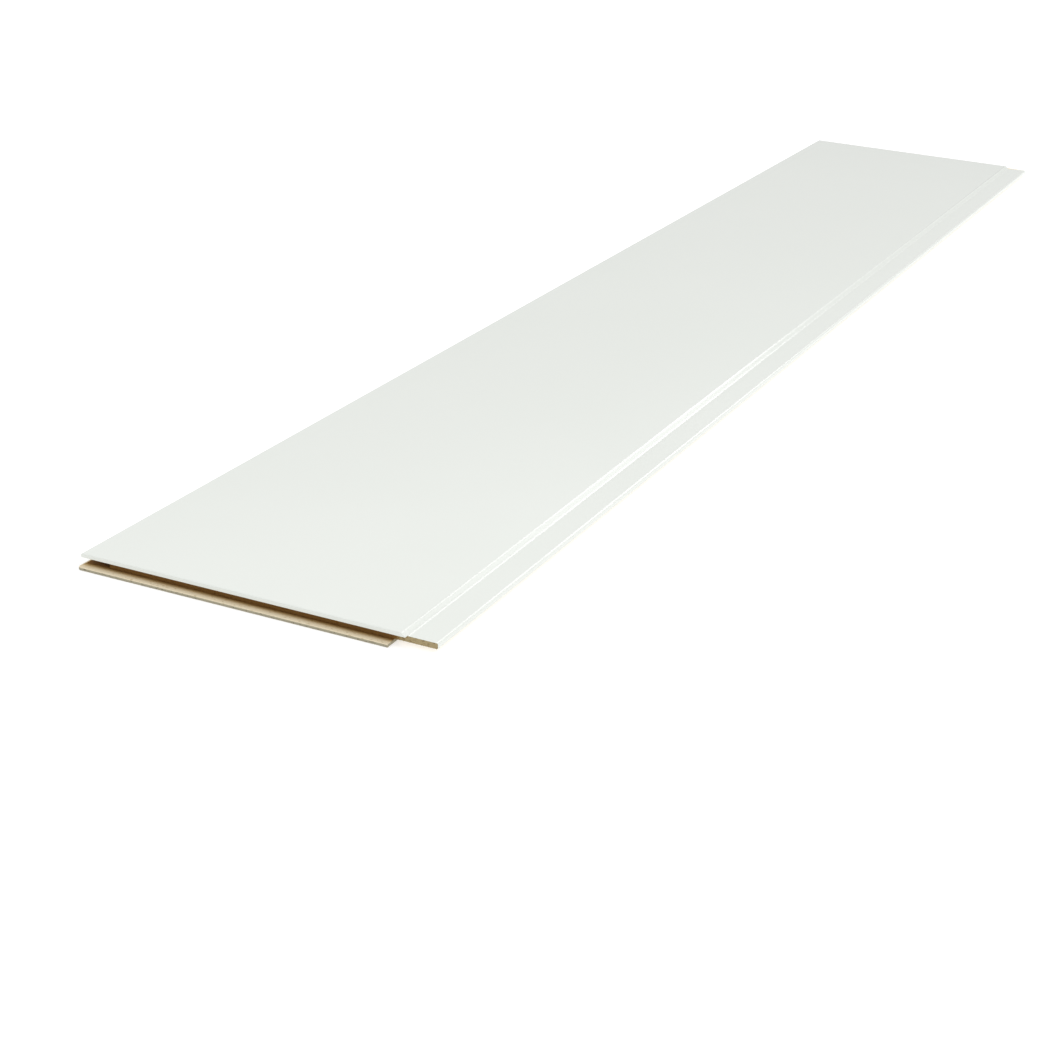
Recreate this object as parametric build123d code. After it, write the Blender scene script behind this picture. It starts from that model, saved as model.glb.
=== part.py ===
"""White foil-faced MDF wall panel, tongued and grooved on all four sides, lying on its back.

X runs across the width from the grooved side to the tongued side, Y along the length from the grooved
end to the tongued end, and Z up from the back to the face. The origin is at the middle of the back.
"""
import os

from build123d import *

# Face, in millimetres
face_length = 1300.0
face_width = 200.0
thickness = 8.0
face_arris_radius = 0.6

# Lips that the grooves leave above and below, and the play of a tongue between them
upper_lip = 2.2
lower_lip = 1.7
tongue_play = 0.3

# Tongued long side: a slope with rounded corners falls from the face to a wide flat tongue
tongue_reach = 20.0
moulding_run = 2.6
moulding_radius = 2.0
nose_top_radius = 1.2
nose_bottom_radius = 0.8
side_shoulder_setback = 5.5

# Grooved long side: the tongue of the next panel stops at the groove's back, short of closing the joint
joint_gap = 3.7
groove_end_play = 0.3
side_lower_lip_setback = 0.2

# Ends: a shallow groove over a longer lower lip at the front, and the tongue that fits it at the rear
end_groove_depth = 3.4
end_lower_lip_reach = 4.3
end_play = 0.3

# Levels above the back
groove_floor = lower_lip
groove_ceiling = thickness - upper_lip
tongue_bottom = groove_floor + tongue_play
tongue_top = groove_ceiling - tongue_play

# Places across the width, from the edge of the grooved side
groove_depth = tongue_reach - joint_gap + groove_end_play
nose = face_width + tongue_reach
side_shoulder = face_width - side_shoulder_setback

# Places along the length, from the edge of the grooved end
lip_front = -end_lower_lip_reach
end_tongue_tip = face_length + end_groove_depth - end_play
end_shoulder = face_length - end_lower_lip_reach - end_play
overall_length = end_tongue_tip - lip_front


def side_section():
    """Section across the width: groove on the low side of X, moulding and tongue on the high side."""
    face_edge = (0, thickness)
    crest = (face_width, thickness)
    foot = (face_width + moulding_run, tongue_top)
    nose_top = (nose, tongue_top)
    nose_bottom = (nose, tongue_bottom)
    outline = Polyline(
        face_edge,
        crest,
        foot,
        nose_top,
        nose_bottom,
        (side_shoulder, tongue_bottom),
        (side_shoulder, 0),
        (side_lower_lip_setback, 0),
        (side_lower_lip_setback, groove_floor),
        (groove_depth, groove_floor),
        (groove_depth, groove_ceiling),
        (0, groove_ceiling),
        close=True,
    )
    rounded_corners = (
        (face_edge, face_arris_radius),
        (crest, moulding_radius),
        (foot, moulding_radius),
        (nose_top, nose_top_radius),
        (nose_bottom, nose_bottom_radius),
    )
    section = make_face(outline)
    for corner, radius in rounded_corners:
        section = fillet(section.vertices().sort_by_distance(corner)[0], radius)
    return section


def end_section():
    """Section along the length: groove and long lower lip at the front, short tongue at the rear."""
    outline = Polyline(
        (lip_front, 0),
        (lip_front, groove_floor),
        (end_groove_depth, groove_floor),
        (end_groove_depth, groove_ceiling),
        (0, groove_ceiling),
        (0, thickness),
        (face_length, thickness),
        (face_length, tongue_top),
        (end_tongue_tip, tongue_top),
        (end_tongue_tip, tongue_bottom),
        (end_shoulder, tongue_bottom),
        (end_shoulder, 0),
        close=True,
    )
    return make_face(outline)


def wall_panel():
    """One board that has the side section all along its length and the end section all across its width."""
    corner = (-nose / 2, -(lip_front + end_tongue_tip) / 2, 0)
    across = Plane(corner, x_dir=(1, 0, 0), z_dir=(0, -1, 0)).offset(-lip_front)
    along = Plane(corner, x_dir=(0, 1, 0), z_dir=(1, 0, 0))
    board = extrude(across * side_section(), overall_length, dir=(0, 1, 0))
    return board & extrude(along * end_section(), nose, dir=(1, 0, 0))


os.makedirs("parts", exist_ok=True)
panel = wall_panel()
panel.label = "wall_panel"
export_step(panel, "parts/wall_panel.step")
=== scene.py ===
"""Looks of a white foil-faced MDF wall panel that lies on its back on a pale studio floor.

The panel is milled on all four sides, so each height above its back is one rectangle. The board is built as
a stack of those rectangles, with the finishes that the wrapping and the cutters left on each strip of it.
"""
import logging
import math
from collections.abc import Iterator
from dataclasses import dataclass, field, replace
from enum import Enum

import bmesh
import bpy
from mathutils import Matrix, Vector


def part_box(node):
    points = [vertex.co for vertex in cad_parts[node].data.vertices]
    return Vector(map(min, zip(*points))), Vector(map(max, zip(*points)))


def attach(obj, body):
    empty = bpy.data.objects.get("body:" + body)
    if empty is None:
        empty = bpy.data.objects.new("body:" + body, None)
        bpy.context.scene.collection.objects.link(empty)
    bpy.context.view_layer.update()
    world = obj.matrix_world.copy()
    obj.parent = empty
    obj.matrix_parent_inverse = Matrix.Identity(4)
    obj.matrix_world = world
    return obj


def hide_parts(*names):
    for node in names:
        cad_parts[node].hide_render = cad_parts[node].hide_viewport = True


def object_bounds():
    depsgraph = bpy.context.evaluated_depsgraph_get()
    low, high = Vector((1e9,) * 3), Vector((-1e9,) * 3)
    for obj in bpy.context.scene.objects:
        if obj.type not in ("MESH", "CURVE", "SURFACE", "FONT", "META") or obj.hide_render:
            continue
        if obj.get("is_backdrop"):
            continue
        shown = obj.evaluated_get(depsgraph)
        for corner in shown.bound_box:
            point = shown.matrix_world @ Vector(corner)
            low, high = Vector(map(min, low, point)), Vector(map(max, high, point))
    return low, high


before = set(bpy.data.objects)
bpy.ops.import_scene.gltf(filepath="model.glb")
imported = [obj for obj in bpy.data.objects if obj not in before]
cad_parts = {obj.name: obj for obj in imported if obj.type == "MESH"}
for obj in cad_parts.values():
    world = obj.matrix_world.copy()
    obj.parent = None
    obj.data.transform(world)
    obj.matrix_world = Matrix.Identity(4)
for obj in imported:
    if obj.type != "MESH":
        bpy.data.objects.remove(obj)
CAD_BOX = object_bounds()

LOG = logging.getLogger("wall_panel")
NODE = "wall_panel"
BODY = "root"
# Names of the attributes that the meshes carry.
PAINTED_SHADE = "painted_shade"
OUTWARD = "outward"
MM = 0.001
# Two places on the board that are nearer than this, in millimetres, are the same.
TOUCH_MM = 1e-4
HEIGHT_DIGITS = 5
WELD_M = 1e-7
# Blender's wave texture repeats every so many units at a scale of one.
WAVE_SPAN = math.tau / 20


def linear(hex_colour: str) -> tuple[float, float, float, float]:
    """Turns an sRGB hex colour into linear light.

    Args:
        hex_colour: Six hex digits after a hash sign.

    Returns:
        Red, green, blue and an alpha of one.
    """
    parts = [int(hex_colour[i:i + 2], 16) / 255 for i in (1, 3, 5)]
    light = [c / 12.92 if c <= 0.04045 else ((c + 0.055) / 1.055) ** 2.4 for c in parts]
    return (*light, 1.0)


def per_metre(size_mm: float) -> float:
    """Texture scale, per metre, of a pattern that repeats about every size_mm millimetres."""
    return 1 / (size_mm * MM)


def same(one: float, other: float) -> bool:
    """Whether two sizes in millimetres are the same place on the board."""
    return abs(one - other) < TOUCH_MM


def setback(radius: float, depth: float) -> float:
    """How far an edge that is rounded to a radius stands back, at a depth below its top."""
    short = max(0.0, radius - depth)
    return radius - math.sqrt(max(0.0, radius**2 - short**2))


def add_node(tree: bpy.types.NodeTree, kind: str, inputs: dict[str | int, object] | None = None,
             **settings: object) -> bpy.types.Node:
    """Adds a node to a shader or geometry tree.

    Args:
        tree: The tree that gets the node.
        kind: Blender's name for the node's type.
        inputs: Socket name or number to a value, or to the socket that feeds it.
        **settings: Properties of the node, set before its inputs.

    Returns:
        The new node.
    """
    node = tree.nodes.new(kind)
    for name, value in settings.items():
        setattr(node, name, value)
    for key, value in (inputs or {}).items():
        if isinstance(value, bpy.types.NodeSocket):
            tree.links.new(value, node.inputs[key])
        else:
            node.inputs[key].default_value = value
    return node


class Side(Enum):
    """The four sides of the board, in the order in which a rectangle's outline meets them."""

    FRONT = 0
    RIGHT = 1
    REAR = 2
    LEFT = 3


class Zone(Enum):
    """What a strip of the board's surface is made of; the value is its material's place on the mesh."""

    FOIL = 0
    MILLED = 1
    SAWN = 2
    PAPER = 3
    SKIN = 4


def start_material(name: str) -> tuple[bpy.types.Material, bpy.types.NodeTree]:
    """Makes an empty node material.

    Args:
        name: The material's name, after the real material.

    Returns:
        The material and its node tree.
    """
    material = bpy.data.materials.new(name)
    material.use_nodes = True
    material.node_tree.nodes.clear()
    return material, material.node_tree


@dataclass(frozen=True)
class WhiteFoil:
    """Satin white finish foil, roller-wrapped over MDF.

    It is a lacquered film, smooth and softly glossy, so the lamps show in it as bright lines along the
    moulding. It has a slow waviness and a faint peel. The real peel is a few tenths of a millimetre across,
    too fine to show, so it is drawn coarser.
    """

    colour: str = "#E4E7E2"
    shade: str = "#E0E4DE"
    roughness: tuple[float, float] = (0.11, 0.16)
    refraction: float = 1.5
    cloud_mm: float = 140.0
    peel_mm: float = 2.6
    peel_depth_mm: float = 0.0035
    wave_mm: float = 55.0
    wave_depth_mm: float = 0.02

    def make(self) -> bpy.types.Material:
        """Builds the foil's material.

        Returns:
            The material, whose tint and gloss drift in slow clouds.
        """
        material, tree = start_material("white_finish_foil")
        place = add_node(tree, "ShaderNodeTexCoord").outputs["Object"]
        cloud = add_node(tree, "ShaderNodeTexNoise", {"Vector": place, "Scale": per_metre(self.cloud_mm),
                                                      "Detail": 3.0})
        tint = add_node(tree, "ShaderNodeMix", {0: cloud.outputs["Fac"], 6: linear(self.colour),
                                                7: linear(self.shade)}, data_type="RGBA")
        rough = add_node(tree, "ShaderNodeMapRange", {"Value": cloud.outputs["Fac"],
                                                      "To Min": self.roughness[0],
                                                      "To Max": self.roughness[1]})
        wave = add_node(tree, "ShaderNodeTexNoise", {"Vector": place, "Scale": per_metre(self.wave_mm),
                                                     "Detail": 1.0})
        peel = add_node(tree, "ShaderNodeTexNoise", {"Vector": place, "Scale": per_metre(self.peel_mm),
                                                     "Detail": 2.0})
        slow = add_node(tree, "ShaderNodeBump", {"Height": wave.outputs["Fac"],
                                                 "Distance": self.wave_depth_mm * MM})
        fine = add_node(tree, "ShaderNodeBump", {"Height": peel.outputs["Fac"],
                                                 "Distance": self.peel_depth_mm * MM,
                                                 "Normal": slow.outputs["Normal"]})
        shader = add_node(tree, "ShaderNodeBsdfPrincipled", {"Base Color": tint.outputs[2],
                                                             "Roughness": rough.outputs["Result"],
                                                             "IOR": self.refraction,
                                                             "Normal": fine.outputs["Normal"]})
        add_node(tree, "ShaderNodeOutputMaterial", {"Surface": shader.outputs["BSDF"]})
        return material


@dataclass(frozen=True)
class BareMdf:
    """Bare MDF as a cutter leaves it: felted wood fibre in two tones, with darker flecks and cutter ripples.

    It looks matt and a little furry. A single fibre is under a tenth of a millimetre thick, too fine to
    show, so the fibre is drawn coarser, as tufts. Deep in a groove, where the upper lip shades it, shade is
    painted into its colour: it is darkened towards a brown, by the share that the mesh's attribute gives.
    """

    name: str
    pale: str
    dark: str
    fleck: str
    fleck_share: float
    tuft_mm: tuple[float, float, float]
    ripple_mm: float
    relief_mm: float
    # Painted shade: the brown that the deep groove is darkened to, standing in for the upper lip's shadow.
    shade_brown: str = "#805D2C"
    shade_onset: float = 2.8
    flecks_per_tuft: float = 0.7
    tone_limits: tuple[float, float] = (0.3, 0.7)
    ripple_share: float = 0.35
    roughness: float = 0.85
    specular: float = 0.25

    def make(self) -> bpy.types.Material:
        """Builds the MDF's material.

        Returns:
            The material, with fibre, flecks, painted shade and relief.
        """
        material, tree = start_material(self.name)
        place = add_node(tree, "ShaderNodeTexCoord").outputs["Object"]
        laid = add_node(tree, "ShaderNodeMapping", {"Vector": place,
                                                    "Scale": [per_metre(s) for s in self.tuft_mm]})
        fibre = add_node(tree, "ShaderNodeTexNoise", {"Vector": laid.outputs["Vector"], "Scale": 1.0,
                                                      "Detail": 6.0, "Roughness": 0.65})
        tone = add_node(tree, "ShaderNodeMapRange", {"Value": fibre.outputs["Fac"],
                                                     "From Min": self.tone_limits[0],
                                                     "From Max": self.tone_limits[1]})
        felt = add_node(tree, "ShaderNodeMix", {0: tone.outputs["Result"], 6: linear(self.dark),
                                                7: linear(self.pale)}, data_type="RGBA")
        speck = add_node(tree, "ShaderNodeTexVoronoi", {"Vector": laid.outputs["Vector"],
                                                        "Scale": self.flecks_per_tuft})
        spread = add_node(tree, "ShaderNodeSeparateColor", {"Color": speck.outputs["Color"]})
        chosen = add_node(tree, "ShaderNodeMath", {0: spread.outputs["Red"], 1: self.fleck_share},
                          operation="LESS_THAN")
        flecked = add_node(tree, "ShaderNodeMix", {0: chosen.outputs["Value"], 6: felt.outputs[2],
                                                   7: linear(self.fleck)}, data_type="RGBA")
        # Painted shade: the attribute's share, raised to a power, darkens the colour towards that brown.
        depth = add_node(tree, "ShaderNodeAttribute", attribute_name=PAINTED_SHADE)
        shade_curve = add_node(tree, "ShaderNodeMath", {0: depth.outputs["Fac"], 1: self.shade_onset},
                        operation="POWER")
        shade_ratio = [shade_brown / own for shade_brown, own in zip(linear(self.shade_brown), linear(self.pale))]
        shade_tint = add_node(tree, "ShaderNodeGamma", {"Color": shade_ratio, "Gamma": shade_curve.outputs["Value"]})
        shaded_felt = add_node(tree, "ShaderNodeMix", {0: 1.0, 6: flecked.outputs[2], 7: shade_tint.outputs["Color"]},
                          data_type="RGBA", blend_type="MULTIPLY")
        ripple = add_node(tree, "ShaderNodeTexWave", {"Vector": place,
                                                      "Scale": WAVE_SPAN * per_metre(self.ripple_mm),
                                                      "Distortion": 1.5, "Detail": 2.0})
        height = add_node(tree, "ShaderNodeMath", {0: ripple.outputs["Fac"], 1: self.ripple_share,
                                                   2: fibre.outputs["Fac"]}, operation="MULTIPLY_ADD")
        relief = add_node(tree, "ShaderNodeBump", {"Height": height.outputs["Value"],
                                                   "Distance": self.relief_mm * MM})
        shader = add_node(tree, "ShaderNodeBsdfPrincipled", {"Base Color": shaded_felt.outputs[2],
                                                             "Roughness": self.roughness,
                                                             "Specular IOR Level": self.specular,
                                                             "Normal": relief.outputs["Normal"]})
        add_node(tree, "ShaderNodeOutputMaterial", {"Surface": shader.outputs["BSDF"]})
        return material


@dataclass(frozen=True)
class BackingPaper:
    """Resin-soaked balancing paper on the back: greyish buff and matt, with a slow mottle.

    Its pulp fibres are as thin as hairs, too fine to show, so they are drawn coarser.
    """

    colour: str = "#B5AD9C"
    fibre: str = "#9C927F"
    fibre_mm: float = 1.4
    mottle_mm: float = 18.0
    tone_limits: tuple[float, float] = (0.12, 0.38)
    relief_mm: float = 0.012
    roughness: float = 0.75
    specular: float = 0.3

    def make(self) -> bpy.types.Material:
        """Builds the paper's material.

        Returns:
            The material, with pulp fibres, mottle and relief.
        """
        material, tree = start_material("balancing_paper")
        place = add_node(tree, "ShaderNodeTexCoord").outputs["Object"]
        pulp = add_node(tree, "ShaderNodeTexNoise", {"Vector": place, "Scale": per_metre(self.fibre_mm),
                                                     "Detail": 5.0, "Distortion": 1.2})
        mottle = add_node(tree, "ShaderNodeTexNoise", {"Vector": place,
                                                       "Scale": per_metre(self.mottle_mm), "Detail": 3.0})
        both = add_node(tree, "ShaderNodeMath", {0: pulp.outputs["Fac"], 1: mottle.outputs["Fac"]},
                        operation="MULTIPLY")
        tone = add_node(tree, "ShaderNodeMapRange", {"Value": both.outputs["Value"],
                                                     "From Min": self.tone_limits[0],
                                                     "From Max": self.tone_limits[1]})
        tint = add_node(tree, "ShaderNodeMix", {0: tone.outputs["Result"], 6: linear(self.fibre),
                                                7: linear(self.colour)}, data_type="RGBA")
        relief = add_node(tree, "ShaderNodeBump", {"Height": pulp.outputs["Fac"],
                                                   "Distance": self.relief_mm * MM})
        shader = add_node(tree, "ShaderNodeBsdfPrincipled", {"Base Color": tint.outputs[2],
                                                             "Roughness": self.roughness,
                                                             "Specular IOR Level": self.specular,
                                                             "Normal": relief.outputs["Normal"]})
        add_node(tree, "ShaderNodeOutputMaterial", {"Surface": shader.outputs["BSDF"]})
        return material


@dataclass
class Finishes:
    """The materials of the panel, made once and shared by its pieces."""

    foil: bpy.types.Material = field(init=False)
    milled: bpy.types.Material = field(init=False)
    sawn: bpy.types.Material = field(init=False)
    paper: bpy.types.Material = field(init=False)
    skin: bpy.types.Material = field(init=False)

    def __post_init__(self) -> None:
        """Builds each material."""
        self.foil = WhiteFoil().make()
        # The board's core, cut flat in the grooves: pale and even.
        self.milled = BareMdf(name="mdf_milled_flat", pale="#EBDFC6", dark="#E2D2B2", fleck="#D2BF9A",
                              fleck_share=0.05, tuft_mm=(0.9, 0.5, 0.5), ripple_mm=1.777,
                              relief_mm=0.03).make()
        # The core's fibre ends, cut across at the tongues: darker and rougher.
        self.sawn = BareMdf(name="mdf_cut_across", pale="#AF9F7A", dark="#998863", fleck="#7E6B49",
                            fleck_share=0.10, tuft_mm=(0.8, 0.8, 0.3), ripple_mm=1.579,
                            relief_mm=0.05).make()
        self.paper = BackingPaper().make()
        # The hard-pressed layer next to the back, at the edge of the lower lip: greyer and denser.
        self.skin = BareMdf(name="mdf_dense_skin", pale="#AEA892", dark="#9A947F", fleck="#7D7663",
                            fleck_share=0.08, tuft_mm=(0.7, 0.7, 0.25), ripple_mm=1.579,
                            relief_mm=0.04).make()

    def by_zone(self) -> list[bpy.types.Material]:
        """The materials in the order of the zones' values."""
        return [self.foil, self.milled, self.sawn, self.paper, self.skin]


@dataclass(frozen=True)
class Level:
    """The board's rectangle at one height, in millimetres from the grooved corner of the face."""

    height: float
    left: float
    right: float
    front: float
    rear: float
    corner: float
    # Share of painted shade, standing in for the shadow in the grooves.
    painted_shade: float

    def outline(self, fade: float, crest: float, rim: float, corner_steps: int) -> list[tuple[Side, Vector]]:
        """Walks the rectangle once round, anticlockwise from its front left corner.

        Args:
            fade: Where the painted shade of the end groove's back starts to fade.
            crest: Where the face ends and the moulding starts.
            rim: Thickness of the foil that shows at the tongue's cut ends.
            corner_steps: Number of steps round the front left corner.

        Returns:
            Each point with the side of the stretch that starts there.
        """
        rim_start = self.right - rim
        stations = (min(fade, rim_start), min(crest, rim_start), rim_start)
        points = []
        for step in range(corner_steps + 1):
            turn = math.pi + math.pi / 2 * step / corner_steps
            side = Side.FRONT if 2 * step >= corner_steps else Side.LEFT
            points.append((side, (self.left + self.corner * (1 + math.cos(turn)),
                                  self.front + self.corner * (1 + math.sin(turn)))))
        points += [(Side.FRONT, (x, self.front)) for x in stations]
        points += [(Side.RIGHT, (self.right, self.front))]
        points += [(Side.REAR, (x, self.rear)) for x in (self.right, *reversed(stations))]
        points += [(Side.LEFT, (self.left, self.rear))]
        return [(side, Vector((x, y, self.height))) for side, (x, y) in points]


@dataclass(frozen=True)
class RingPoint:
    """One vertex of the board's mesh, with its level, its place and the side that starts there."""

    level: Level
    side: Side
    place: Vector
    vertex: bmesh.types.BMVert


@dataclass(frozen=True)
class Arris:
    """A cut edge of the board, in its millimetres, with the way that torn stuff stands out from it."""

    start: Vector
    end: Vector
    outward: Vector


@dataclass
class MilledBoard:
    """The board itself: its section across the width and along the length, in millimetres.

    Places are from the grooved corner of the face, and heights are from the back.
    """

    # The section across the width.
    face_width: float = 200.0
    face_arris: float = 0.8
    upper_lip: float = 2.2
    lower_lip: float = 1.7
    tongue_play: float = 0.3
    moulding_run: float = 2.6
    moulding_radius: float = 2.0
    nose_top: float = 1.2
    nose_bottom: float = 0.8
    side_shoulder_setback: float = 5.5
    groove_depth: float = 16.6
    side_lip_setback: float = 0.2
    # The section along the length.
    end_groove_depth: float = 3.4
    end_lip_reach: float = 4.3
    end_play: float = 0.3
    end_arris: float = 0.5
    # The lower lip's corner and eased edge, and how far down that edge the cutter polished it.
    lip_corner: float = 2.6
    lip_arris: float = 0.7
    lip_polish: float = 0.35
    # How far in from the face's edges the lower lip gets painted shade in full, for the upper lip's shadow,
    # and over what width that painted shade fades towards the tongue's cut end.
    side_shade_depth: float = 2.0
    end_shade_depth: float = 3.15
    shade_fade: float = 5.0
    # The skins, and how much torn paper and fibre slants from straight out of an edge.
    foil_rim: float = 0.25
    paper_thickness: float = 0.3
    paper_slant: float = 0.3
    fibre_slant: float = 0.4
    # The mesh.
    corner_steps: int = 8
    arc_steps: int = 14
    sharp_angle: float = math.radians(32)
    # Worked out from the CAD box and the sizes above.
    origin: Vector = field(init=False)
    thickness: float = field(init=False)
    nose: float = field(init=False)
    tongue_tip: float = field(init=False)
    face_length: float = field(init=False)
    shoulder: float = field(init=False)
    rear_shoulder: float = field(init=False)
    groove_ceiling: float = field(init=False)
    tongue_bottom: float = field(init=False)
    tongue_top: float = field(init=False)
    moulding_foot: float = field(init=False)
    moulding_slope: float = field(init=False)
    round_setback: float = field(init=False)
    round_height: float = field(init=False)
    fade_start: float = field(init=False)

    def __post_init__(self) -> None:
        """Takes the overall sizes from the CAD box and works out the heights and places between."""
        low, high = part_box(NODE)
        size = (high - low) / MM
        self.origin = Vector((low.x / MM, low.y / MM + self.end_lip_reach, 0))
        self.thickness = size.z
        self.nose = size.x
        self.tongue_tip = size.y - self.end_lip_reach
        self.face_length = self.tongue_tip - self.end_groove_depth + self.end_play
        self.shoulder = self.face_width - self.side_shoulder_setback
        self.rear_shoulder = self.face_length - self.end_lip_reach - self.end_play
        self.groove_ceiling = self.thickness - self.upper_lip
        self.tongue_bottom = self.lower_lip + self.tongue_play
        self.tongue_top = self.groove_ceiling - self.tongue_play
        self.moulding_foot = self.face_width + self.moulding_run
        self.moulding_slope = math.atan2(self.thickness - self.tongue_top, self.moulding_run)
        self.round_setback = self.moulding_radius * math.tan(self.moulding_slope / 2)
        self.round_height = self.moulding_radius * (1 - math.cos(self.moulding_slope))
        self.fade_start = self.face_width - self.shade_fade

    def place(self, point: Vector) -> Vector:
        """A point of the board's own millimetres, in the frame's metres."""
        return (self.origin + point) * MM

    def moulding_edge(self, height: float) -> float:
        """Says how far right the moulding reaches: a straight slope between a round-over and a hollow.

        Args:
            height: The height above the back, from the tongue's top to the face.

        Returns:
            The place across the width.
        """
        fall, rise = self.thickness - height, height - self.tongue_top
        spread = self.moulding_radius - setback(self.moulding_radius, min(fall, rise))
        if fall < self.round_height:
            return self.face_width - self.round_setback + spread
        if rise < self.round_height:
            return self.moulding_foot + self.round_setback - spread
        return self.face_width + fall / math.tan(self.moulding_slope)

    def nose_edge(self, height: float) -> float:
        """Says how far right the tongue's rounded nose reaches.

        Args:
            height: The height above the back, from the tongue's bottom to its top.

        Returns:
            The place across the width.
        """
        below = setback(self.nose_bottom, height - self.tongue_bottom)
        above = setback(self.nose_top, self.tongue_top - height)
        return self.nose - below - above

    def level(self, height: float, part: float) -> Level:
        """The board's rectangle at a height.

        Args:
            height: The height above the back.
            part: A height just above or below, which says which side of a step is meant.

        Returns:
            The rectangle.
        """
        corner = painted_shade = 0.0
        if part < self.lower_lip:
            eased = setback(self.lip_arris, self.lower_lip - height)
            left, front = self.side_lip_setback + eased, eased - self.end_lip_reach
            corner = self.lip_corner - eased
        elif part < self.groove_ceiling:
            # The groove's walls carry painted shade in full, for the upper lip's shadow.
            left, front = self.groove_depth, self.end_groove_depth
            painted_shade = 1.0
        else:
            left = setback(self.face_arris, self.thickness - height)
            front = setback(self.end_arris, self.thickness - height)
        if part < self.tongue_bottom:
            right, rear = self.shoulder, self.rear_shoulder
        elif part < self.tongue_top:
            right, rear = self.nose_edge(height), self.tongue_tip
        else:
            right = self.moulding_edge(height)
            rear = self.face_length - setback(self.end_arris, self.thickness - height)
        return Level(height, left, right, front, rear, corner, painted_shade)

    def heights(self) -> list[float]:
        """Lists every height that has a corner or a step of an arc.

        Returns:
            The heights from the back to the face.
        """
        found = {0.0, self.paper_thickness, self.lower_lip, self.tongue_bottom, self.tongue_top,
                 self.tongue_top - self.foil_rim, self.groove_ceiling, self.thickness}
        for step in range(self.arc_steps + 1):
            share = step / self.arc_steps
            bend = 1 - math.cos(self.moulding_slope * share)
            dip = 1 - math.sin(math.pi / 2 * share)
            found |= {self.thickness - self.moulding_radius * bend,
                      self.tongue_top + self.moulding_radius * bend,
                      self.thickness - self.face_arris * dip,
                      self.thickness - self.end_arris * dip,
                      self.lower_lip - self.lip_arris * dip,
                      self.tongue_top - self.nose_top * dip,
                      self.tongue_bottom + self.nose_bottom * dip}
        return sorted({round(height, HEIGHT_DIGITS) for height in found})

    def levels(self) -> Iterator[Level]:
        """Gives the rectangles that the board is stacked from, with two or more at each step.

        Returns:
            The rectangles from the back to the face.
        """
        heights = self.heights()
        for height in heights:
            below, above = self.level(height, height - TOUCH_MM), self.level(height, height + TOUCH_MM)
            if height > heights[0]:
                yield below
            # An extra ring on the lower lip's top, from which the painted shade under the upper lip is full.
            if same(height, self.lower_lip):
                yield replace(above, left=self.side_shade_depth, front=self.end_shade_depth)
            if height < heights[-1] and (height == heights[0] or above != below):
                yield above

    def zone(self, side: Side, centre: Vector, flat: bool) -> Zone:
        """Says what a strip of the board's side is made of.

        Args:
            side: The side that it is on.
            centre: The strip's centre.
            flat: Whether the strip is a ledge, with all of it at one height.

        Returns:
            The strip's zone.
        """
        grooved = side in (Side.FRONT, Side.LEFT)
        if flat:
            on_tongue = side is Side.RIGHT and same(centre.z, self.tongue_top)
            return Zone.FOIL if on_tongue else Zone.MILLED
        if grooved and 0 < self.lower_lip - centre.z < self.lip_polish:
            return Zone.MILLED
        if centre.z < self.paper_thickness:
            return Zone.PAPER
        if centre.z < self.lower_lip:
            return Zone.SKIN
        if side is Side.RIGHT:
            return Zone.FOIL if centre.z > self.tongue_bottom else Zone.SAWN
        if centre.z > (self.groove_ceiling if grooved else self.tongue_top):
            return Zone.FOIL
        if grooved and centre.x < self.fade_start:
            return Zone.MILLED
        over_rim = centre.x > self.nose - self.nose_top - self.foil_rim
        in_skin = centre.x > self.face_width and centre.z > self.tongue_top - self.foil_rim
        return Zone.FOIL if over_rim or in_skin else Zone.SAWN

    def painted_shade(self, level: Level, side: Side, across: float) -> float:
        """Says how much painted shade a point of a groove gets, standing in for the upper lip's shadow.

        Args:
            level: The level that the point is on.
            side: The side that it is on.
            across: Its place across the width.

        Returns:
            A share from none to all, which fades towards the cut end of the tongue.
        """
        if side in (Side.RIGHT, Side.REAR):
            return 0.0
        fade = (self.face_width - across) / self.shade_fade
        return level.painted_shade * min(1.0, max(0.0, fade))

    def base_arrises(self) -> list[Arris]:
        """Lists the edges of the back, where the paper is cut with the board.

        Returns:
            The near and left edges, which start past the lip's rounded corner, and the far one.
        """
        left, right = self.side_lip_setback, self.shoulder
        front, rear = -self.end_lip_reach, self.rear_shoulder
        level, slant = self.paper_thickness, self.paper_slant
        corner = Vector((left + self.lip_corner, front + self.lip_corner))
        return [
            Arris(Vector((corner.x, front, level)), Vector((right, front, level)), Vector((0, -1, slant))),
            Arris(Vector((left, corner.y, level)), Vector((left, rear, level)), Vector((-1, 0, slant))),
            Arris(Vector((left, rear, level)), Vector((right, rear, level)), Vector((0, 1, slant))),
        ]

    def tongue_arrises(self) -> list[Arris]:
        """Lists the edges of the cut ends of the tongues.

        Returns:
            The lower edges of both ends, and the upper edge of the far one.
        """
        low, high, near, far = self.tongue_bottom, self.tongue_top, self.end_groove_depth, self.tongue_tip
        left, foot, nose = self.groove_depth, self.moulding_foot, self.nose - self.nose_bottom
        slant = self.fibre_slant
        return [
            Arris(Vector((self.shoulder, near, low)), Vector((nose, near, low)), Vector((0, -1, -slant))),
            Arris(Vector((left, far, low)), Vector((nose, far, low)), Vector((0, 1, -slant))),
            Arris(Vector((left, far, high)), Vector((foot, far, high)), Vector((0, 1, slant))),
        ]

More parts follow.
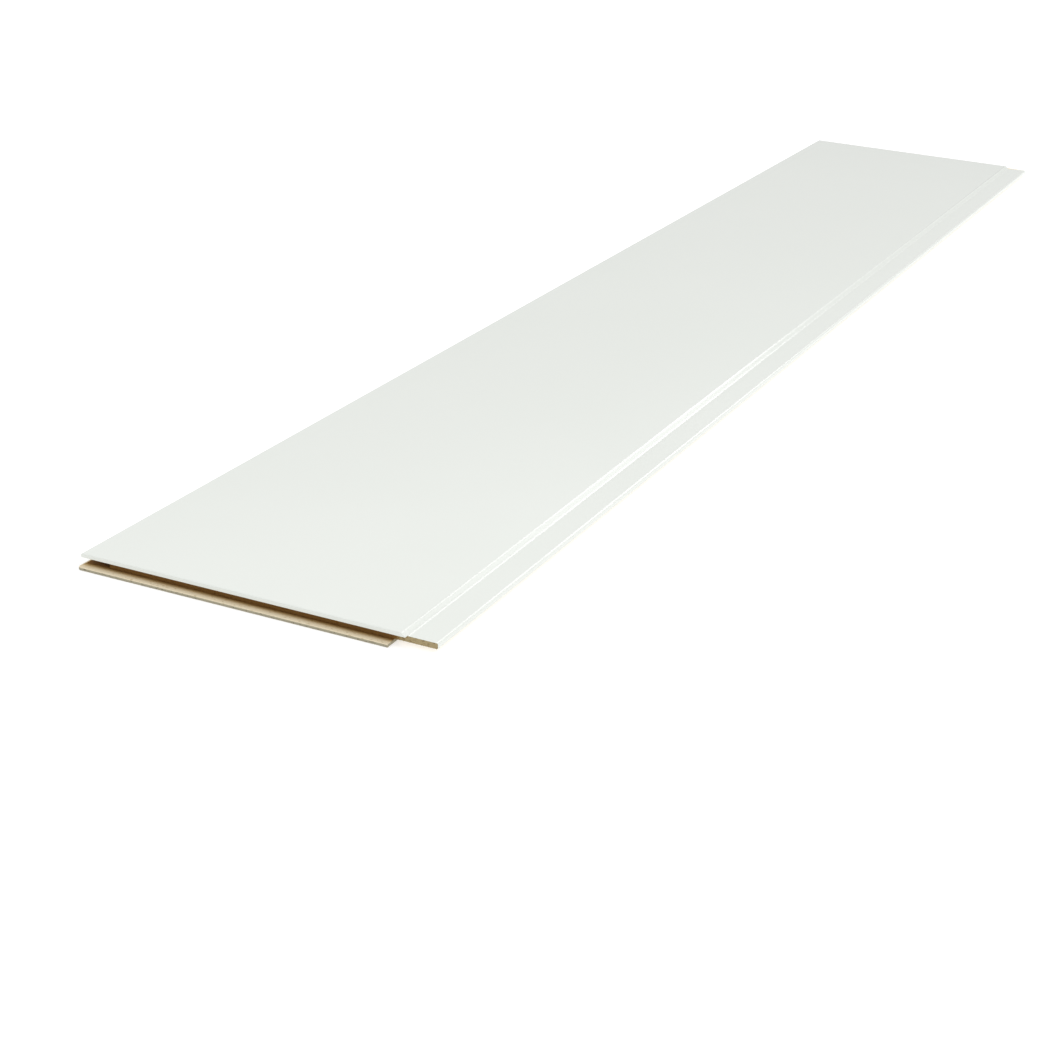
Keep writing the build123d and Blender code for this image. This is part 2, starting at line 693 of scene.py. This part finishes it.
    def build(self, finishes: Finishes) -> bpy.types.Object:
        """Makes the board as one closed mesh and gives each strip its finish.

        Args:
            finishes: The panel's materials.

        Returns:
            The board's object, linked to the scene.
        """
        mesh = bpy.data.meshes.new("panel_board")
        for material in finishes.by_zone():
            mesh.materials.append(material)
        form = bmesh.new()
        # Painted shade for the grooves' shadow, carried per loop.
        painted_shade = form.loops.layers.float.new(PAINTED_SHADE)
        rings = []
        for level in self.levels():
            walk = level.outline(self.fade_start, self.face_width, self.foil_rim, self.corner_steps)
            rings.append([RingPoint(level, side, place, form.verts.new(self.place(place)))
                          for side, place in walk])
        for lower, upper in zip(rings, rings[1:]):
            for here, start in enumerate(lower):
                after = (here + 1) % len(lower)
                corners = [start, lower[after], upper[after], upper[here]]
                strip = form.faces.new([corner.vertex for corner in corners])
                centre = sum((corner.place for corner in corners), Vector()) / len(corners)
                flat = same(start.level.height, upper[here].level.height)
                strip.material_index = self.zone(start.side, centre, flat).value
                for loop, corner in zip(strip.loops, corners):
                    loop[painted_shade] = self.painted_shade(corner.level, start.side, corner.place.x)
        back = form.faces.new([point.vertex for point in reversed(rings[0])])
        back.material_index = Zone.PAPER.value
        face = form.faces.new([point.vertex for point in rings[-1]])
        face.material_index = Zone.FOIL.value
        bmesh.ops.remove_doubles(form, verts=form.verts, dist=WELD_M)
        bmesh.ops.dissolve_degenerate(form, edges=form.edges, dist=WELD_M)
        bmesh.ops.recalc_face_normals(form, faces=form.faces)
        form.to_mesh(mesh)
        form.free()
        mesh.shade_smooth()
        mesh.set_sharp_from_angle(angle=self.sharp_angle)
        board = bpy.data.objects.new("panel_board", mesh)
        bpy.context.scene.collection.objects.link(board)
        return board


@dataclass(frozen=True)
class EdgeFlakes:
    """Small flakes that the cutters tore along the board's cut edges, set out by Geometry Nodes.

    A flake is a tapered stub of unit width and reach, which each point scales.
    """

    name: str
    spacing_mm: float
    width_mm: tuple[float, float]
    reach_mm: tuple[float, float]
    thickness_mm: float
    scatter_mm: float
    seed: int
    sides: int = 5
    root_radius: float = 0.5
    tip_radius: float = 0.15
    lean: float = 0.35

    def sizes(self) -> dict[str, float]:
        """Works out the tree's named sizes.

        Returns:
            Each size's name with its value in metres.
        """
        sizes_mm = {"Spacing": self.spacing_mm,
                    "Width Least": self.width_mm[0], "Width Most": self.width_mm[1],
                    "Reach Least": self.reach_mm[0], "Reach Most": self.reach_mm[1],
                    "Thickness": self.thickness_mm, "Scatter": self.scatter_mm}
        return {name: size * MM for name, size in sizes_mm.items()}

    def make_tree(self) -> bpy.types.GeometryNodeTree:
        """Builds the node tree: points along the edges, a flake on each, and one material.

        Returns:
            The tree, with an input for each size, the seed and the material.
        """
        tree = bpy.data.node_groups.new(self.name, "GeometryNodeTree")
        tree.interface.new_socket("Geometry", in_out="OUTPUT", socket_type="NodeSocketGeometry")
        tree.interface.new_socket("Edges", in_out="INPUT", socket_type="NodeSocketGeometry")
        for size in self.sizes():
            tree.interface.new_socket(size, in_out="INPUT", socket_type="NodeSocketFloat")
        tree.interface.new_socket("Seed", in_out="INPUT", socket_type="NodeSocketInt")
        tree.interface.new_socket("Material", in_out="INPUT", socket_type="NodeSocketMaterial")
        given = add_node(tree, "NodeGroupInput").outputs
        path = add_node(tree, "GeometryNodeMeshToCurve", {"Mesh": given["Edges"]})
        points = add_node(tree, "GeometryNodeCurveToPoints", {"Curve": path.outputs["Curve"],
                                                              "Length": given["Spacing"]}, mode="LENGTH")
        tangent = points.outputs["Tangent"]
        stray = add_node(tree, "FunctionNodeRandomValue", {0: [-1.0] * 3, 1: [1.0] * 3,
                                                           "Seed": given["Seed"]}, data_type="FLOAT_VECTOR")
        offset = add_node(tree, "ShaderNodeVectorMath", {0: stray.outputs[0], "Scale": given["Scatter"]},
                          operation="SCALE")
        along = add_node(tree, "ShaderNodeVectorMath", {0: offset.outputs["Vector"], 1: tangent},
                         operation="PROJECT")
        strewn = add_node(tree, "GeometryNodeSetPosition", {"Geometry": points.outputs["Points"],
                                                            "Offset": along.outputs["Vector"]})
        way = add_node(tree, "GeometryNodeInputNamedAttribute", {"Name": OUTWARD}, data_type="FLOAT_VECTOR")
        leaning = add_node(tree, "ShaderNodeVectorMath", {0: stray.outputs[0], 1: [self.lean] * 3,
                                                          2: way.outputs["Attribute"]},
                           operation="MULTIPLY_ADD")
        lined_up = add_node(tree, "FunctionNodeAlignRotationToVector", {"Vector": tangent}, axis="X")
        turn = add_node(tree, "FunctionNodeAlignRotationToVector", {"Rotation": lined_up.outputs["Rotation"],
                                                                    "Vector": leaning.outputs["Vector"]},
                        axis="Z")
        drawn = {}
        for count, size in enumerate(("Width", "Reach"), start=1):
            seed = add_node(tree, "ShaderNodeMath", {0: given["Seed"], 1: count})
            draw = add_node(tree, "FunctionNodeRandomValue", {2: given[f"{size} Least"],
                                                              3: given[f"{size} Most"],
                                                              "Seed": seed.outputs["Value"]})
            drawn[size] = draw.outputs[1]
        scale = add_node(tree, "ShaderNodeCombineXYZ", {"X": drawn["Width"], "Y": given["Thickness"],
                                                        "Z": drawn["Reach"]})
        flake = add_node(tree, "GeometryNodeMeshCone", {"Vertices": self.sides,
                                                        "Radius Top": self.tip_radius,
                                                        "Radius Bottom": self.root_radius, "Depth": 1.0})
        flakes = add_node(tree, "GeometryNodeInstanceOnPoints", {"Points": strewn.outputs["Geometry"],
                                                                 "Instance": flake.outputs["Mesh"],
                                                                 "Rotation": turn.outputs["Rotation"],
                                                                 "Scale": scale.outputs["Vector"]})
        solid = add_node(tree, "GeometryNodeRealizeInstances", {"Geometry": flakes.outputs["Instances"]})
        dressed = add_node(tree, "GeometryNodeSetMaterial", {"Geometry": solid.outputs["Geometry"],
                                                             "Material": given["Material"]})
        add_node(tree, "NodeGroupOutput", {"Geometry": dressed.outputs["Geometry"]})
        return tree

    def build(self, board: MilledBoard, edges: list[Arris],
              material: bpy.types.Material) -> bpy.types.Object:
        """Sets flakes out along some of the board's cut edges.

        Args:
            board: The board that the edges are on.
            edges: The cut edges.
            material: What the flakes are made of.

        Returns:
            The flakes as one plain mesh object.
        """
        mesh = bpy.data.meshes.new(self.name)
        ends = [board.place(point) for edge in edges for point in (edge.start, edge.end)]
        mesh.from_pydata(ends, [(i, i + 1) for i in range(0, len(ends), 2)], [])
        ways = mesh.attributes.new(OUTWARD, "FLOAT_VECTOR", "POINT")
        for i, edge in enumerate(edges):
            ways.data[2 * i].vector = ways.data[2 * i + 1].vector = edge.outward.normalized()
        flakes = bpy.data.objects.new(self.name, mesh)
        bpy.context.scene.collection.objects.link(flakes)
        tree = self.make_tree()
        modifier = flakes.modifiers.new(self.name, "NODES")
        modifier.node_group = tree
        values = self.sizes() | {"Seed": self.seed, "Material": material}
        for socket in tree.interface.items_tree:
            if socket.name in values:
                modifier[socket.identifier] = values[socket.name]
        evaluated = flakes.evaluated_get(bpy.context.evaluated_depsgraph_get())
        plain = bpy.data.meshes.new_from_object(evaluated)
        flakes.modifiers.clear()
        flakes.data = plain
        plain.name = self.name
        return flakes


@dataclass(frozen=True)
class StudioSky:
    """Soft light from all round. Behind the panel on the left it is dim low down and bright higher up.

    Each list of stops gives heights above the horizon, in degrees, with the light that comes from there.
    """

    rear_left: tuple[tuple[float, float], ...] = ((0, 0.58), (13, 0.63), (20, 0.69), (26, 1.2), (34, 1.2))
    elsewhere: tuple[tuple[float, float], ...] = ((0, 0.88), (20, 0.89), (45, 0.90))
    # The way to the middle of the rear left, and the cosines from there over which its light sets in.
    rear_left_way: tuple[float, float, float] = (-0.55, 0.83, 0.0)
    rear_left_edge: tuple[float, float] = (0.4, 0.8)

    def build(self) -> None:
        """Makes the world's light."""
        world = bpy.data.worlds.new("studio_sky")
        world.use_nodes = True
        tree = world.node_tree
        tree.nodes.clear()
        way = add_node(tree, "ShaderNodeTexCoord").outputs["Generated"]
        parts = add_node(tree, "ShaderNodeSeparateXYZ", {"Vector": way})
        brightest = max(light for _, light in self.rear_left + self.elsewhere)
        ramps = []
        for stops in (self.elsewhere, self.rear_left):
            ramp = add_node(tree, "ShaderNodeValToRGB", {"Fac": parts.outputs["Z"]})
            elements = ramp.color_ramp.elements
            # A new stop starts halfway along, and gets its own place after that.
            while len(elements) < len(stops):
                elements.new(0.5)
            for element, (angle, light) in zip(elements, stops):
                element.position = math.sin(math.radians(angle))
                element.color = (*[light / brightest] * 3, 1.0)
            ramps.append(ramp.outputs["Color"])
        turned = add_node(tree, "ShaderNodeVectorMath", {0: way, 1: self.rear_left_way},
                          operation="DOT_PRODUCT")
        facing = add_node(tree, "ShaderNodeMapRange", {"Value": turned.outputs["Value"],
                                                       "From Min": self.rear_left_edge[0],
                                                       "From Max": self.rear_left_edge[1]},
                          interpolation_type="SMOOTHSTEP")
        both = add_node(tree, "ShaderNodeMix", {0: facing.outputs["Result"], 6: ramps[0], 7: ramps[1]},
                        data_type="RGBA")
        sky = add_node(tree, "ShaderNodeBackground", {"Color": both.outputs[2], "Strength": brightest})
        add_node(tree, "ShaderNodeOutputWorld", {"Surface": sky.outputs["Background"]})
        bpy.context.scene.world = world


@dataclass(frozen=True)
class SoftBox:
    """A large diffused lamp that faces the middle of the panel, with its sizes in metres.

    It hangs a distance away, turned from +Y towards +X and raised by a climb, both in degrees. Its light is
    in the sky's own units.
    """

    name: str
    away: float
    turn: float
    climb: float
    size: tuple[float, float]
    light: float
    mirrored: bool = True

    def build(self) -> bpy.types.Object:
        """Hangs the lamp.

        Returns:
            The lamp's object.
        """
        lamp = bpy.data.lights.new(self.name, "AREA")
        lamp.shape = "RECTANGLE"
        lamp.size, lamp.size_y = self.size
        lamp.energy = self.light * math.pi * self.size[0] * self.size[1]
        turn, climb = math.radians(self.turn), math.radians(self.climb)
        way = Vector((math.sin(turn) * math.cos(climb), math.cos(turn) * math.cos(climb), math.sin(climb)))
        facing = way.to_track_quat("Z", "Y").to_matrix().to_4x4()
        box = bpy.data.objects.new(self.name, lamp)
        box.matrix_world = Matrix.Translation(way * self.away) @ facing
        box.visible_glossy = self.mirrored
        bpy.context.scene.collection.objects.link(box)
        return box


@dataclass(frozen=True)
class StudioFloor:
    """A pale matt acrylic table that glows a little from below, so that shadows on it stay light."""

    half_width: float = 60.0
    gap_mm: float = 0.2
    colour: str = "#C8C8C8"
    roughness: float = 0.9
    glow: float = 0.55

    def build(self) -> bpy.types.Object:
        """Makes the floor just under the panel's back and marks it as stage.

        Returns:
            The floor's object.
        """
        material, tree = start_material("studio_acrylic")
        shader = add_node(tree, "ShaderNodeBsdfPrincipled", {"Base Color": linear(self.colour),
                                                             "Roughness": self.roughness,
                                                             "Specular IOR Level": 0.0,
                                                             "Emission Strength": self.glow})
        add_node(tree, "ShaderNodeOutputMaterial", {"Surface": shader.outputs["BSDF"]})
        mesh = bpy.data.meshes.new("studio_floor")
        reach, depth = self.half_width, -self.gap_mm * MM
        corners = [(-reach, -reach, depth), (reach, -reach, depth),
                   (reach, reach, depth), (-reach, reach, depth)]
        mesh.from_pydata(corners, [], [(0, 1, 2, 3)])
        mesh.materials.append(material)
        floor = bpy.data.objects.new("studio_floor", mesh)
        bpy.context.scene.collection.objects.link(floor)
        floor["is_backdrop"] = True
        return floor


@dataclass(frozen=True)
class PhotoCamera:
    """The photograph's camera, fitted to the panel's edges; places are from the face's grooved corner."""

    place_mm: tuple[float, float, float] = (671.9, -900.7, 486.7)
    yaw: float = -24.21
    pitch: float = -22.25
    roll: float = -2.84
    focal_px: float = 2173.0
    frame_px: float = 1050.0
    sensor_mm: float = 36.0
    clip_start: float = 0.05
    clip_end: float = 200.0

    def build(self, board: MilledBoard) -> bpy.types.Object:
        """Makes the camera and sets it as the scene's.

        Args:
            board: The board that the camera was fitted to.

        Returns:
            The camera's object.
        """
        yaw, pitch, roll = (math.radians(angle) for angle in (self.yaw, self.pitch, self.roll))
        ahead = Vector((math.sin(yaw) * math.cos(pitch), math.cos(yaw) * math.cos(pitch), math.sin(pitch)))
        level = Vector((math.cos(yaw), -math.sin(yaw), 0))
        down = ahead.cross(level)
        right = level * math.cos(roll) + down * math.sin(roll)
        up = right.cross(ahead)
        data = bpy.data.cameras.new("photo_camera")
        data.sensor_width = self.sensor_mm
        data.lens = self.focal_px / self.frame_px * self.sensor_mm
        data.clip_start, data.clip_end = self.clip_start, self.clip_end
        camera = bpy.data.objects.new("photo_camera", data)
        turn = Matrix((right, up, -ahead)).transposed().to_4x4()
        camera.matrix_world = Matrix.Translation(board.place(Vector(self.place_mm))) @ turn
        bpy.context.scene.collection.objects.link(camera)
        bpy.context.scene.camera = camera
        return camera


BASE_FLAKES = EdgeFlakes(name="base_edge_flakes", spacing_mm=0.9, width_mm=(0.35, 1.3),
                         reach_mm=(0.12, 0.42), thickness_mm=0.14, scatter_mm=0.4, seed=11)
TONGUE_FIBRES = EdgeFlakes(name="tongue_edge_fibres", spacing_mm=0.8, width_mm=(0.2, 0.7),
                           reach_mm=(0.1, 0.35), thickness_mm=0.1, scatter_mm=0.4, seed=23)
LAMPS = (
    # Shows in the moulding's round-over and hollow, as its two bright lines.
    SoftBox(name="rear_softbox", away=7.0, turn=-1.0, climb=33.0, size=(4.1, 2.1), light=2.1),
    # Shows in the moulding's slope, as the plain strip between the lines.
    SoftBox(name="side_softbox", away=7.0, turn=23.0, climb=23.5, size=(2.2, 1.2), light=1.45),
    # Lights the tongued side, and leaves no image of itself in the foil.
    SoftBox(name="right_softbox", away=2.4, turn=95.0, climb=48.0, size=(2.6, 1.0), light=1.2,
            mirrored=False),
)


def write_sizes() -> None:
    """Puts the CAD box and the dressed panel's box into plain lists, which are not kept."""
    boxes = {"cad": CAD_BOX, "visual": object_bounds()}
    {name: [list(corner) for corner in box] for name, box in boxes.items()}


def main() -> None:
    """Builds the panel, the floor, the light and the camera, and reports each piece."""
    logging.basicConfig(level=logging.INFO, format="%(name)s: %(message)s")
    bpy.context.scene.view_settings.view_transform = "Standard"
    finishes = Finishes()
    board = MilledBoard()
    pieces = [
        board.build(finishes),
        BASE_FLAKES.build(board, board.base_arrises(), finishes.paper),
        TONGUE_FIBRES.build(board, board.tongue_arrises(), finishes.sawn),
    ]
    for piece in pieces:
        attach(piece, BODY)
        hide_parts(NODE)
        LOG.info("%s: %d faces", piece.name, len(piece.data.polygons))
    StudioFloor().build()
    StudioSky().build()
    for lamp in LAMPS:
        lamp.build()
    PhotoCamera().build(board)
    write_sizes()


if __name__ == "__main__":
    main()
